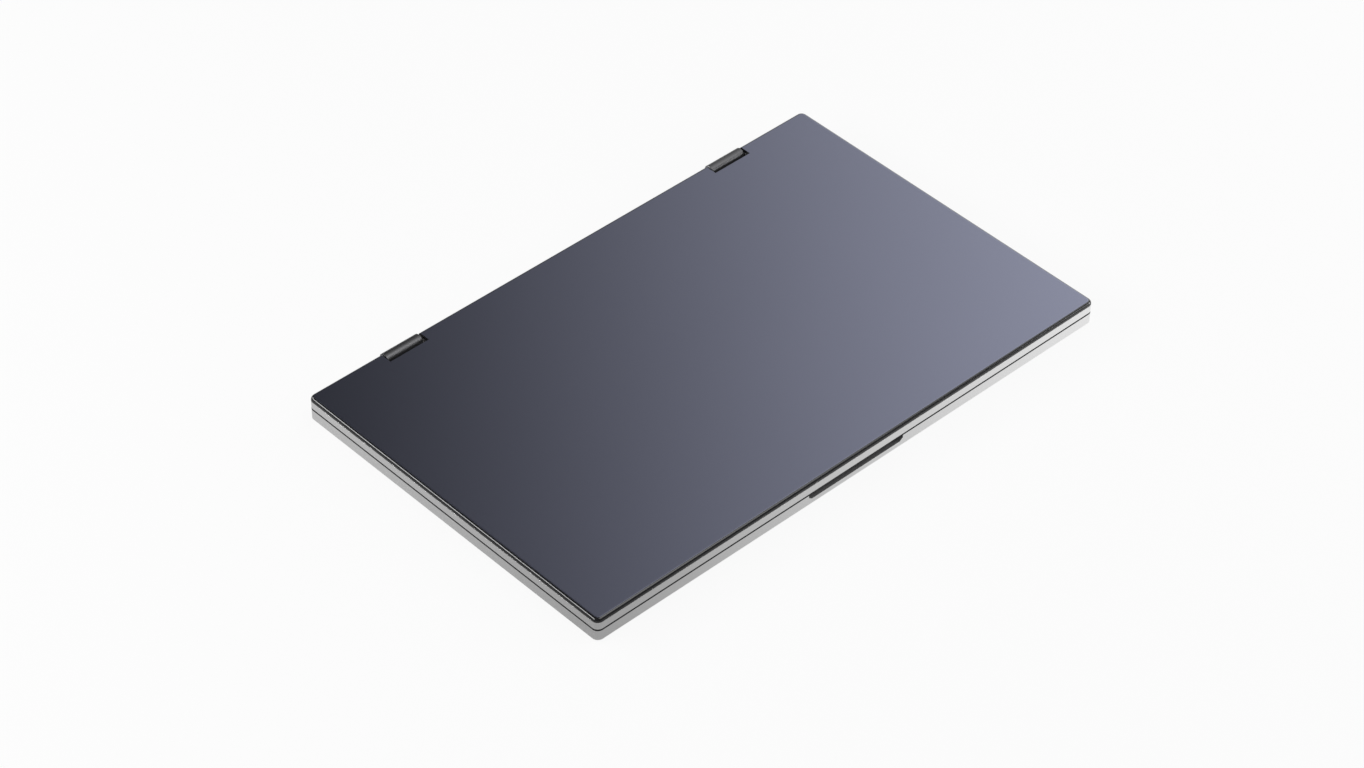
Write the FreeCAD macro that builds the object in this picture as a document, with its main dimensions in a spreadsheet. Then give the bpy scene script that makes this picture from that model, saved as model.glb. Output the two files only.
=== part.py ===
"""Folding stacked dual-screen monitor: two slab panels on two geared dual-axis friction hinges."""
import FreeCAD, Part
import math
import os
import re

import Sketcher

Vector = FreeCAD.Vector
Constraint = Sketcher.Constraint
LEFT = -1
RIGHT = 1
HANDS = {LEFT: "left", RIGHT: "right"}
LOWER = "lower"
UPPER = "upper"

# Driving dimensions, in millimetres. X runs along the hinge edge, -Y is the opening edge, Z is up.
SIZES = {
    # Panels
    "panel_width": 358.0,
    "panel_depth": 223.4,
    "panel_height": 7.2,
    "panel_gap": 0.6,
    "pad_clearance": 0.15,
    "corner_radius": 3.6,
    "corner_least": 0.5,
    "bottom_chamfer": 0.8,
    "rear_chamfer": 1.0,
    "rim_width": 1.6,
    "ledge_width": 1.2,
    "seat_clearance": 0.1,
    # Top and bottom covers
    "cover_edge_height": 2.25,
    "cover_edge_round": 2.0,
    "cover_thickness": 1.1,
    "tape_thickness": 0.15,
    "tape_inset": 0.4,
    "bottom_thickness": 1.0,
    # Screens
    "glass_thickness": 0.7,
    "glass_recess": 0.1,
    "cell_thickness": 1.0,
    "backlight_thickness": 1.0,
    "backlight_lip": 0.25,
    "module_width": 350.7,
    "module_depth": 205.2,
    "module_front_inset": 5.2,
    # Hinge notches and links
    "hinge_spacing": 234.3,
    "notch_width": 26.3,
    "notch_depth": 8.3,
    "notch_wall": 1.2,
    "axis_inset": 1.8,
    "link_length": 24.1,
    "link_radius": 3.6,
    "link_wall": 0.5,
    "link_end_wall": 0.7,
    "link_end_chamfer": 0.3,
    # Hinge mechanism
    "shaft_radius": 1.2,
    "spindle_radius": 0.75,
    "running_clearance": 0.08,
    "fit_clearance": 0.02,
    "bore_allowance": 0.12,
    "ear_radius": 2.6,
    "ear_thickness": 0.8,
    "ear_clearance": 0.15,
    "ear_low": 1.6,
    "ear_high": 5.6,
    "leaf_thickness": 1.0,
    "leaf_depth": 17.0,
    "leaf_seat_height": 1.6,
    "leaf_wall_gap": 0.2,
    "leaf_corner": 1.0,
    "inner_plate_radius": 3.0,
    "carrier_thickness": 1.1,
    "gear_width": 2.0,
    "gear_teeth": 13,
    "gear_backlash": 0.05,
    "gear_addendum": 0.16,
    "gear_dedendum": 0.26,
    "gear_pressure_angle": 20.0,
    "idler_pin_radius": 0.5,
    "stack_gap": 0.1,
    "torque_plate_count": 4,
    "torque_plate_thickness": 1.4,
    "washer_radius": 2.0,
    "washer_thickness": 0.5,
    "washer_count": 2,
    "nut_flats": 3.0,
    "nut_thickness": 1.8,
    "shaft_end_length": 0.6,
    # Small screws, and the number of sides that small round outlines are drawn with
    "small_sides": 8,
    "round_sides": 16,
    "screw_head_radius": 1.7,
    "screw_head_height": 0.5,
    "boss_radius": 2.3,
    "boss_height": 2.4,
    "leaf_screw_pitch": 9.0,
    # Finger recess in the lower frame
    "scoop_width": 68.0,
    "scoop_slope": 2.2,
    "scoop_floor": 3.75,
    "scoop_depth": 3.6,
    "scoop_round": 1.6,
    # Connectors in the right side
    "port_height": 2.75,
    "usb_width": 8.94,
    "usb_height": 3.16,
    "port_wall": 0.3,
    "port_back_wall": 0.9,
    "port_depth": 7.3,
    "tongue_thickness": 0.7,
    "tongue_setback": 0.6,
    "usb_tongue_width": 6.7,
    "hdmi_tongue_width": 8.1,
    "usb_first_place": 62.0,
    "usb_pitch": 16.0,
    "hdmi_width": 11.2,
    "hdmi_height": 3.2,
    "hdmi_slant": 0.9,
    "hdmi_place": 27.0,
    "port_inset": 0.35,
    "cutout_clearance": 0.12,
    # Keys in the right side
    "key_length": 9.0,
    "power_key_length": 12.0,
    "key_thickness": 2.4,
    "key_proud": 0.4,
    "key_chamfer": 0.2,
    "key_clip": 0.7,
    "key_flange": 0.4,
    "key_flange_depth": 0.6,
    "key_travel": 0.4,
    "key_slide_clearance": 0.1,
    "power_key_place": -20.0,
    "up_key_place": -36.0,
    "down_key_place": -50.0,
    "switch_width": 3.6,
    "switch_height": 1.6,
    "switch_depth": 2.0,
    # Boards
    "board_thickness": 0.8,
    "board_corner": 1.0,
    "board_floor": 1.5,
    "main_board_width": 38.0,
    "main_board_margin": 9.0,
    "key_board_width": 7.0,
    "board_wall_gap": 0.4,
    "driver_board_width": 150.0,
    "driver_board_depth": 18.0,
    "driver_board_place": 62.0,
    "chip_height": 0.9,
    "driver_chip_length": 10.0,
    "driver_chip_width": 8.0,
    "driver_chip_inset": 4.0,
    # Feet and bumpers
    "foot_length": 46.0,
    "foot_width": 7.0,
    "foot_clip": 1.6,
    "foot_sink": 0.5,
    "foot_side_inset": 20.0,
    "foot_end_inset": 12.0,
    "bumper_length": 8.0,
    "bumper_width": 1.6,
    "bumper_inset": 3.4,
}

# Sizes that follow from the driving dimensions.
FORMULAS = {
    "overcut": "panel_height / 4",
    "rim_middle": "rim_width / 2",
    "half_width": "panel_width / 2",
    "half_depth": "panel_depth / 2",
    "foot_proud": "panel_gap - pad_clearance",
    "lower_base": "foot_proud",
    "lower_face": "lower_base + panel_height",
    "upper_face": "lower_face + panel_gap",
    "upper_top": "upper_face + panel_height",
    "lower_axis": "lower_base + panel_height / 2",
    "upper_axis": "upper_face + panel_height / 2",
    "axis_pitch": "panel_height + panel_gap",
    "axis_place": "half_depth - axis_inset",
    "inner_inset": "rim_width + ledge_width",
    "glass_pocket": "glass_thickness + glass_recess",
    "hinge_centre": "hinge_spacing / 2",
    "notch_inner": "hinge_centre - notch_width / 2",
    "notch_outer": "hinge_centre + notch_width / 2",
    "notch_front": "half_depth - notch_depth",
    "link_outer": "hinge_centre + link_length / 2",
    "ear_outer": "notch_outer - ear_clearance",
    "leaf_back": "notch_front - notch_wall - leaf_wall_gap",
    "leaf_front": "leaf_back - leaf_depth",
    "gear_pitch_radius": "axis_pitch / 6",
    "gear_start": "carrier_thickness + stack_gap",
    "gear_end": "gear_start + gear_width",
    "inner_plate_start": "gear_end + stack_gap",
    "inner_plate_end": "inner_plate_start + carrier_thickness",
    "torque_pitch": "torque_plate_thickness + stack_gap",
    "torque_start": "inner_plate_end + stack_gap",
    "torque_end": "torque_start + torque_plate_count * torque_pitch",
    "washer_pitch": "washer_thickness + stack_gap",
    "washer_end": "torque_end + washer_count * washer_pitch",
    "nut_end": "washer_end + nut_thickness",
    "shaft_end": "nut_end + shaft_end_length",
    "module_front": "module_front_inset - half_depth",
    "cell_face": "glass_pocket + cell_thickness",
    "backlight_face": "cell_face + backlight_thickness",
    "scoop_half": "scoop_width / 2",
    "wall_inner": "half_width - inner_inset",
    "board_edge": "wall_inner - board_wall_gap",
    "board_top": "board_floor + board_thickness",
    "port_mouth": "half_width - port_inset",
    "screw_inset": "inner_inset + boss_radius - ledge_width / 2",
    "port_back": "port_mouth - port_depth",
    "key_level": "lower_base + port_height",
    "key_back": "wall_inner - key_slide_clearance - key_flange_depth",
}

NAME_PATTERN = re.compile(r"[a-z][a-z_]*[a-z]")

document = FreeCAD.newDocument("folding_monitor")
sheet = document.addObject("Spreadsheet::Sheet", "Dims")
for row, (alias, size) in enumerate(SIZES.items(), start=1):
    sheet.set(f"A{row}", alias)
    sheet.set(f"B{row}", str(size))
    sheet.setAlias(f"B{row}", alias)
document.recompute()


def bound(text):
    """Write a size formula with the sheet's own cell names."""
    def expand(match):
        name = match.group(0)
        if name in FORMULAS:
            return f"({bound(FORMULAS[name])})"
        if name in SIZES:
            return f"Dims.{name}"
        return name
    return NAME_PATTERN.sub(expand, str(text))


def size(text):
    """Evaluate a size formula to a number."""
    return float(sheet.evalExpression(bound(text)))


class Outline:
    """A fully dimensioned sketch of closed outlines on one of a body's origin planes."""

    def __init__(self, body, plane, height):
        origin_plane = next(f for f in body.Origin.OriginFeatures if f.Role == plane)
        self.sketch = body.newObject("Sketcher::SketchObject", f"{body.Label}_sketch")
        self.sketch.AttachmentSupport = [(origin_plane, "")]
        self.sketch.MapMode = "FlatFace"
        self.sketch.setExpression("AttachmentOffset.Base.z", bound(height))
        self.geometry = []
        self.links = []
        self.dimensions = []

    def _dimension(self, kind, geometry, point, formula):
        value = size(formula)
        if kind == "Radius":
            constraint = Constraint(kind, geometry, value)
        else:
            constraint = Constraint(kind, -1, 1, geometry, point, value)
        self.dimensions.append((constraint, formula))

    def _append(self, shapes):
        first = len(self.geometry)
        self.geometry.extend(shapes)
        return first

    def finish(self):
        """Put all edges, links and dimensions into the sketch, and bind each dimension."""
        self.sketch.addGeometry(self.geometry, False)
        self.sketch.addConstraint(self.links + [constraint for constraint, _ in self.dimensions])
        for number, (_, formula) in enumerate(self.dimensions):
            name = f"dimension_{number}"
            self.sketch.renameConstraint(len(self.links) + number, name)
            self.sketch.setExpression(f"Constraints.{name}", bound(formula))

    def polygon(self, corners):
        """Add straight edges through corners given as pairs of formulas."""
        points = [Vector(size(x), size(y), 0) for x, y in corners]
        count = len(points)
        edges = [Part.LineSegment(points[i], points[(i + 1) % count]) for i in range(count)]
        first = self._append(edges)
        for i in range(count):
            following = first + (i + 1) % count
            self.links.append(Constraint("Coincident", first + i, 2, following, 1))
        for i, (x, y) in enumerate(corners):
            self._dimension("DistanceX", first + i, 1, x)
            self._dimension("DistanceY", first + i, 1, y)
        return self

    def box(self, left, right, front, back):
        """Add a rectangle."""
        return self.polygon([(left, front), (right, front), (right, back), (left, back)])

    def clipped_box(self, left, right, front, back, clip):
        """Add a rectangle with its four corners clipped."""
        return self.polygon([
            (f"{left} + {clip}", front), (f"{right} - ({clip})", front),
            (right, f"{front} + {clip}"), (right, f"{back} - ({clip})"),
            (f"{right} - ({clip})", back), (f"{left} + {clip}", back),
            (left, f"{back} - ({clip})"), (left, f"{front} + {clip}"),
        ])

    def rounded_box(self, left, right, front, back, radius):
        """Add a rectangle with four equal rounded corners."""
        x0, x1, y0, y1, r = (size(f) for f in (left, right, front, back, radius))
        z_axis = Vector(0, 0, 1)
        quarter = math.pi / 2
        centres = [(x1 - r, y0 + r, -1), (x1 - r, y1 - r, 0), (x0 + r, y1 - r, 1), (x0 + r, y0 + r, 2)]
        lines = [
            Part.LineSegment(Vector(x0 + r, y0, 0), Vector(x1 - r, y0, 0)),
            Part.LineSegment(Vector(x1, y0 + r, 0), Vector(x1, y1 - r, 0)),
            Part.LineSegment(Vector(x1 - r, y1, 0), Vector(x0 + r, y1, 0)),
            Part.LineSegment(Vector(x0, y1 - r, 0), Vector(x0, y0 + r, 0)),
        ]
        arcs = []
        for x, y, turn in centres:
            circle = Part.Circle(Vector(x, y, 0), z_axis, r)
            arcs.append(Part.ArcOfCircle(circle, turn * quarter, (turn + 1) * quarter))
        first = self._append(lines + arcs)
        for i in range(4):
            self.links.append(Constraint("Tangent", first + i, 2, first + 4 + i, 1))
            self.links.append(Constraint("Tangent", first + 4 + i, 2, first + (i + 1) % 4, 1))
        for i, direction in enumerate(("Horizontal", "Vertical", "Horizontal", "Vertical")):
            self.links.append(Constraint(direction, first + i))
        for i in range(3):
            self.links.append(Constraint("Equal", first + 4 + i, first + 5 + i))
        self._dimension("Radius", first + 4, None, radius)
        self._dimension("DistanceX", first + 3, 1, left)
        self._dimension("DistanceX", first + 1, 1, right)
        self._dimension("DistanceY", first, 1, front)
        self._dimension("DistanceY", first + 2, 1, back)
        return self

    def circle(self, x, y, radius):
        """Add a circle."""
        circle = Part.Circle(Vector(size(x), size(y), 0), Vector(0, 0, 1), size(radius))
        index = self._append([circle])
        self._dimension("Radius", index, None, radius)
        self._dimension("DistanceX", index, 3, x)
        self._dimension("DistanceY", index, 3, y)
        return self

    def ring(self, x, y, radius, sides="small_sides"):
        """Add a small round outline as a regular polygon with its corners on the circle."""
        count = int(size(sides))
        corners = []
        for corner in range(count):
            angle = (corner + 0.5) * 360 / count
            corners.append((f"{x} + ({radius}) * {math.cos(math.radians(angle)):.9f}",
                            f"{y} + ({radius}) * {math.sin(math.radians(angle)):.9f}"))
        return self.polygon(corners)

    def clipped_slot(self, x, y0, y1, radius):
        """Add an upright slot whose round ends are drawn with few sides."""
        half = int(size("small_sides")) // 2
        corners = []
        for end, turn in ((y1, 0), (y0, 180)):
            for corner in range(half + 1):
                angle = turn + 180 * corner / half
                corners.append((f"{x} + ({radius}) * {math.cos(math.radians(angle)):.9f}",
                                f"{end} + ({radius}) * {math.sin(math.radians(angle)):.9f}"))
        return self.polygon(corners)

    def slot(self, x0, y0, x1, y1, radius):
        """Add a round-ended slot between two centres on a line along a sketch axis."""
        start = Vector(size(x0), size(y0), 0)
        end = Vector(size(x1), size(y1), 0)
        r = size(radius)
        along = (end - start).normalize()
        side = Vector(-along.y, along.x, 0) * r
        angle = math.atan2(side.y, side.x)
        z_axis = Vector(0, 0, 1)
        near = Part.ArcOfCircle(Part.Circle(start, z_axis, r), angle, angle + math.pi)
        far = Part.ArcOfCircle(Part.Circle(end, z_axis, r), angle - math.pi, angle)
        right_line = Part.LineSegment(start - side, end - side)
        left_line = Part.LineSegment(end + side, start + side)
        first = self._append([near, right_line, far, left_line])
        self.links.extend([
            Constraint("Tangent", first, 2, first + 1, 1),
            Constraint("Tangent", first + 1, 2, first + 2, 1),
            Constraint("Tangent", first + 2, 2, first + 3, 1),
            Constraint("Tangent", first + 3, 2, first, 1),
        ])
        self._dimension("Radius", first, None, radius)
        for index, x, y in ((first, x0, y0), (first + 2, x1, y1)):
            self._dimension("DistanceX", index, 3, x)
            self._dimension("DistanceY", index, 3, y)
        return self


class Piece:
    """One sub-part built from pads and pockets, each given by an outline, a start and an end."""

    all_pieces = []

    def __init__(self, label):
        self.body = document.addObject("PartDesign::Body", label)
        self.body.Label = label
        self.body.AllowCompound = True
        Piece.all_pieces.append(self.body)

    def _feature(self, kind, plane, start, end, draw):
        outline = Outline(self.body, plane, start)
        draw(outline)
        outline.finish()
        feature = self.body.newObject(f"PartDesign::{kind}", f"{self.body.Label}_{kind.lower()}")
        feature.Profile = outline.sketch
        feature.setExpression("Length", bound(f"({end}) - ({start})"))
        outline.sketch.Visibility = False
        return feature

    def pad(self, start, end, draw, plane="XY_Plane"):
        """Add material from start to end along the plane's normal."""
        self._feature("Pad", plane, start, end, draw)
        return self

    def pocket(self, start, end, draw, plane="XY_Plane"):
        """Remove material from start to end along the plane's normal, and prove that it cut."""
        document.recompute()
        before = self.body.Shape.Volume
        feature = self._feature("Pocket", plane, start, end, draw)
        feature.Reversed = True
        document.recompute()
        if self.body.Shape.Volume > before - 1e-6:
            raise RuntimeError(f"{self.body.Label}: a pocket removed nothing")
        return self

    def dress(self, kind, keep, amount, name):
        """Fillet or chamfer the edges that the test keeps."""
        document.recompute()
        tip = self.body.Tip
        edges = [f"Edge{i}" for i, edge in enumerate(tip.Shape.Edges, start=1) if keep(edge)]
        if not edges:
            raise RuntimeError(f"{self.body.Label}: no edge to dress")
        feature = self.body.newObject(f"PartDesign::{kind}", f"{self.body.Label}_{kind.lower()}")
        feature.Base = (tip, edges)
        feature.setExpression(name, bound(amount))
        document.recompute()
        return self


def at_height(formula):
    """Make a test for edges that lie flat at a height."""
    level = size(formula)

    def keep(edge):
        box = edge.BoundBox
        return abs(box.ZMin - level) < 1e-4 and abs(box.ZMax - level) < 1e-4
    return keep


def at_place(formula):
    """Make a test for edges that lie in a plane square to X."""
    place = size(formula)

    def keep(edge):
        box = edge.BoundBox
        return abs(box.XMin - place) < 1e-4 and abs(box.XMax - place) < 1e-4
    return keep


def layer(side, near, far):
    """Give the start and end heights of a layer, by its two distances from a panel's outer face."""
    if side == LOWER:
        return f"lower_base + {near}", f"lower_base + {far}"
    return f"upper_top - ({far})", f"upper_top - ({near})"


def axis_height(side):
    """Give the height of a panel's hinge axis."""
    return "lower_axis" if side == LOWER else "upper_axis"


def span(hand, near, far):
    """Give the start and end along X of what lies between two distances from a link's outer end."""
    if hand == RIGHT:
        return f"link_outer - ({far})", f"link_outer - ({near})"
    return f"({near}) - link_outer", f"({far}) - link_outer"


def flank(hand, near, far):
    """Give the low and high X of what lies between two distances from the middle of the panel."""
    if hand == RIGHT:
        return near, far
    return f"-({far})", f"-({near})"


def panel_outline(outline, inset):
    """Draw the panel's rounded outline, drawn in by an inset."""
    inset = f"({inset})"
    outline.rounded_box(
        f"{inset} - half_width", f"half_width - {inset}",
        f"{inset} - half_depth", f"half_depth - {inset}",
        f"max(corner_radius - {inset}; corner_least)")


def cavity_outline(outline):
    """Draw the outline of the space inside a panel's walls."""
    panel_outline(outline, "inner_inset")


def notch_boxes(outline, margin, reach):
    """Draw the boxes of both hinge notches, grown by a margin, up to a reach behind the panel."""
    for hand in HANDS:
        low, high = flank(hand, f"notch_inner - ({margin})", f"notch_outer + ({margin})")
        outline.box(low, high, f"notch_front - ({margin})", reach)


def ear_slits(outline):
    """Draw the slits in the notches' front walls that the leaves' ears pass through."""
    for hand in HANDS:
        low, high = flank(hand, "ear_outer - ear_thickness - seat_clearance", "notch_outer")
        outline.box(low, high, "leaf_back - seat_clearance", "notch_front + overcut")


def screw_places():
    """Give the places of the bottom cover's screws."""
    places = []
    for along in ("screw_inset - half_width", "-panel_width / 6", "panel_width / 6",
                  "half_width - screw_inset"):
        for across in ("screw_inset - half_depth", "half_depth - screw_inset"):
            places.append((along, across))
    return places


def leaf_screw_places(hand):
    """Give the places of one leaf's three screws."""
    row = "leaf_front + leaf_depth / 3"
    return [(f"{hand} * (hinge_centre + ({step}) * leaf_screw_pitch)", row) for step in (-1, 0, 1)]


def frame_hinge_details(piece, side):
    """Cut the notches, their ear slits and the leaf seats into a panel frame."""
    outer = "0" if side == LOWER else "cover_edge_height + tape_thickness"
    piece.pad(*layer(side, outer, "panel_height"),
              lambda o: notch_boxes(o, "notch_wall", "half_depth - rim_middle"))
    seat_low = "ear_low + leaf_thickness"

    def seats(outline):
        for hand in HANDS:
            low, high = flank(hand, "notch_inner + notch_wall", "notch_outer - notch_wall")
            outline.box(low, high, "leaf_front", "notch_front - notch_wall / 2")
    piece.pad(*layer(side, seat_low, "ear_low + leaf_thickness + leaf_seat_height"), seats)
    piece.pocket(*layer(side, f"({outer}) - overcut", "panel_height + overcut"),
                 lambda o: notch_boxes(o, "0", "half_depth + overcut"))

    piece.pocket(*layer(side, "ear_low - seat_clearance", "ear_high + seat_clearance"), ear_slits)

    def rear_edge(outline):
        face = "lower_face" if side == LOWER else "upper_face"
        down = "-" if side == LOWER else "+"
        up = "+" if side == LOWER else "-"
        outline.polygon([
            ("half_depth - rear_chamfer - overcut", f"{face} {up} overcut"),
            ("half_depth + overcut", f"{face} {down} rear_chamfer {down} overcut"),
            ("half_depth + overcut", f"{face} {up} overcut"),
        ])
    piece.pocket("-half_width - overcut", "half_width + overcut", rear_edge, plane="YZ_Plane")


def build_lower_frame():
    """Machine the silver ring of the lower panel with its recess, cut-outs and bosses."""
    piece = Piece("lower_frame")
    piece.pad("lower_base", "lower_face", lambda o: panel_outline(o, "0"))
    piece.dress("Chamfer", at_height("lower_base"), "bottom_chamfer", "Size")
    piece.pocket("lower_face - glass_pocket", "lower_face + overcut",
                 lambda o: panel_outline(o, "rim_width"))
    piece.pocket("lower_base - overcut", "lower_base + bottom_thickness",
                 lambda o: panel_outline(o, "rim_width"))
    piece.pocket("lower_base", "lower_face", cavity_outline)
    frame_hinge_details(piece, LOWER)

    def bosses(outline):
        for along, across in screw_places():
            outline.box(f"{along} - boss_radius", f"{along} + boss_radius",
                        f"{across} - boss_radius", f"{across} + boss_radius")
    piece.pad("lower_base + bottom_thickness", "lower_base + bottom_thickness + boss_height", bosses)
    piece.pad("lower_base + scoop_floor - notch_wall", "lower_face", lambda o: o.box(
        "-scoop_half - notch_wall", "scoop_half + notch_wall",
        "rim_middle - half_depth", "scoop_depth + notch_wall - half_depth"))

    def scoop(outline):
        outline.polygon([
            ("-scoop_half", "lower_face + overcut"),
            ("-scoop_half", "lower_base + scoop_floor + scoop_round"),
            ("scoop_slope - scoop_half", "lower_base + scoop_floor"),
            ("scoop_half - scoop_slope", "lower_base + scoop_floor"),
            ("scoop_half", "lower_base + scoop_floor + scoop_round"),
            ("scoop_half", "lower_face + overcut"),
        ])
    piece.pocket("half_depth - scoop_depth", "half_depth + overcut", scoop, plane="XZ_Plane")

    def side_cutouts(outline):
        for place in usb_places():
            port_slot(outline, place, "cutout_clearance")
        hdmi_outline(outline, "cutout_clearance")
        for place, length in KEYS.values():
            key_outline(outline, place, length, "cutout_clearance")
    piece.pocket("wall_inner - overcut", "half_width + overcut", side_cutouts, plane="YZ_Plane")


KEYS = {
    "power_key": ("power_key_place", "power_key_length"),
    "up_key": ("up_key_place", "key_length"),
    "down_key": ("down_key_place", "key_length"),
}


def usb_places():
    """Give the places of the two reversible ports along the side."""
    return ["usb_first_place", "usb_first_place - usb_pitch"]


def port_slot(outline, place, grow):
    """Draw a reversible port's round-ended outline."""
    height = "lower_base + port_height"
    reach = "(usb_width - usb_height) / 2"
    outline.slot(f"{place} - {reach}", height, f"{place} + {reach}", height, f"usb_height / 2 + ({grow})")


def hdmi_outline(outline, grow):
    """Draw the video port's outline with its two slanted lower corners."""
    half = f"(hdmi_width / 2 + ({grow}))"
    low = f"lower_base + port_height - hdmi_height / 2 - ({grow})"
    high = f"lower_base + port_height + hdmi_height / 2 + ({grow})"
    middle = "lower_base + port_height"
    outline.polygon([
        (f"hdmi_place - {half} + hdmi_slant", low), (f"hdmi_place + {half} - hdmi_slant", low),
        (f"hdmi_place + {half}", middle), (f"hdmi_place + {half}", high),
        (f"hdmi_place - {half}", high), (f"hdmi_place - {half}", middle),
    ])


def key_outline(outline, place, length, grow):
    """Draw a key's outline with clipped corners, grown by a margin."""
    half_length = f"({length} / 2 + ({grow}))"
    half_height = f"(key_thickness / 2 + ({grow}))"
    outline.clipped_box(f"{place} - {half_length}", f"{place} + {half_length}",
                        f"key_level - {half_height}", f"key_level + {half_height}", "key_clip")


def build_upper_frame():
    """Machine the silver ring of the upper panel."""
    piece = Piece("upper_frame")
    top = "upper_top - cover_edge_height - tape_thickness"
    piece.pad("upper_face", top, lambda o: panel_outline(o, "0"))
    piece.pocket("upper_face - overcut", "upper_face + glass_pocket",
                 lambda o: panel_outline(o, "rim_width"))
    piece.pocket("upper_face", f"{top} + overcut", cavity_outline)
    frame_hinge_details(piece, UPPER)


def build_covers():
    """Press the flat bottom cover, the rounded top cover and the tape that bonds it."""
    bottom = Piece("lower_back_cover")
    bottom.pad("lower_base", "lower_base + bottom_thickness",
               lambda o: panel_outline(o, "rim_width + seat_clearance"))
    bottom.pocket("lower_base - overcut", "lower_base + bottom_thickness + overcut",
                  lambda o: notch_boxes(o, "notch_wall + seat_clearance", "half_depth"))

    def heads(outline):
        for along, across in screw_places():
            outline.ring(along, across, "screw_head_radius + seat_clearance")
    bottom.pocket("lower_base - overcut", "lower_base + screw_head_height", heads)
    bottom.pocket("lower_base - overcut", "lower_base + foot_sink",
                  lambda o: foot_boxes(o, "seat_clearance"))

    top = Piece("upper_back_cover")
    rim = "upper_top - cover_edge_height"
    top.pad(rim, "upper_top", lambda o: panel_outline(o, "0"))
    top.dress("Fillet", at_height("upper_top"), "cover_edge_round", "Radius")
    top.pocket(f"{rim} - overcut", "upper_top - cover_thickness", cavity_outline)
    top.pad(rim, "upper_top - cover_thickness / 2",
            lambda o: notch_boxes(o, "notch_wall", "half_depth - inner_inset / 2"))
    top.pocket(f"{rim} - overcut", "upper_top + overcut",
               lambda o: notch_boxes(o, "0", "half_depth + overcut"))
    top.pocket(*layer(UPPER, "ear_low - seat_clearance", "cover_edge_height + overcut"), ear_slits)

    tape = Piece("upper_cover_tape")
    tape.pad(f"{rim} - tape_thickness", rim, lambda o: panel_outline(o, "tape_inset"))
    tape.pocket(f"{rim} - overcut", f"{rim} + overcut", cavity_outline)
    tape.pocket(f"{rim} - overcut", f"{rim} + overcut",
                lambda o: notch_boxes(o, "tape_inset", "half_depth + overcut"))


def foot_boxes(outline, grow):
    """Draw the four rounded feet, grown by a margin."""
    for hand in HANDS:
        low, high = flank(hand, f"half_width - foot_side_inset - foot_length - ({grow})",
                          f"half_width - foot_side_inset + ({grow})")
        front = f"foot_end_inset - half_depth - ({grow})"
        back = f"foot_end_inset + foot_width - half_depth + ({grow})"
        outline.clipped_box(low, high, front, back, "foot_clip")
        inward = "leaf_front - half_depth"
        front = f"half_depth + {inward} - foot_end_inset - foot_width - ({grow})"
        back = f"half_depth + {inward} - foot_end_inset + ({grow})"
        outline.clipped_box(low, high, front, back, "foot_clip")


def build_feet_and_bumpers():
    """Mould the rubber feet in the bottom cover and the bumpers on the lower glass."""
    feet = Piece("rubber_feet")
    feet.pad("0", "lower_base + foot_sink", lambda o: foot_boxes(o, "0"))

    def bumpers(outline):
        for hand in HANDS:
            low, high = flank(hand, "half_width - foot_side_inset - bumper_length",
                              "half_width - foot_side_inset")
            outline.box(low, high, "bumper_inset - half_depth",
                        "bumper_inset + bumper_width - half_depth")
            low, high = flank(hand, "half_width - bumper_inset - bumper_width",
                              "half_width - bumper_inset")
            outline.box(low, high, "-bumper_length / 2", "bumper_length / 2")
    pads = Piece("screen_bumpers")
    pads.pad("lower_face - glass_recess", "lower_face + panel_gap - pad_clearance", bumpers)


def build_screen(side):
    """Stack one panel's cover glass, liquid crystal cell and backlight."""
    glass = Piece(f"{side}_cover_glass")
    face = "panel_height - glass_recess"
    glass.pad(*layer(side, f"{face} - glass_thickness", face),
              lambda o: panel_outline(o, "rim_width + seat_clearance"))

    def cuts(outline):
        notch_boxes(outline, "notch_wall + seat_clearance", "half_depth")
        if side == LOWER:
            outline.box("-scoop_half - notch_wall - seat_clearance",
                        "scoop_half + notch_wall + seat_clearance",
                        "-half_depth", "scoop_depth + notch_wall + seat_clearance - half_depth")
    glass.pocket(*layer(side, f"{face} - glass_thickness - overcut", f"{face} + overcut"), cuts)

    def module(outline):
        outline.box("-module_width / 2", "module_width / 2", "module_front", "module_front + module_depth")
    cell = Piece(f"{side}_lcd_cell")
    cell.pad(*layer(side, "panel_height - cell_face", "panel_height - glass_pocket"), module)
    light = Piece(f"{side}_backlight")
    light.pad(*layer(side, "panel_height - backlight_face", "panel_height - cell_face"), module)

    def lip(outline):
        outline.box("ledge_width - module_width / 2", "module_width / 2 - ledge_width",
                    "module_front + ledge_width", "module_front + module_depth - ledge_width")
    light.pocket(*layer(side, "panel_height - backlight_face - overcut",
                        "panel_height - backlight_face + backlight_lip"), lip)


# The main board's chips: left edge and length, from the board's left edge, and front edge and
# width, from its middle.
MAIN_CHIPS = ((6, 12, -6, 12), (6, 6, 10, 6), (15, 6, -20, 8), (6, 4, -19, 8))


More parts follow.
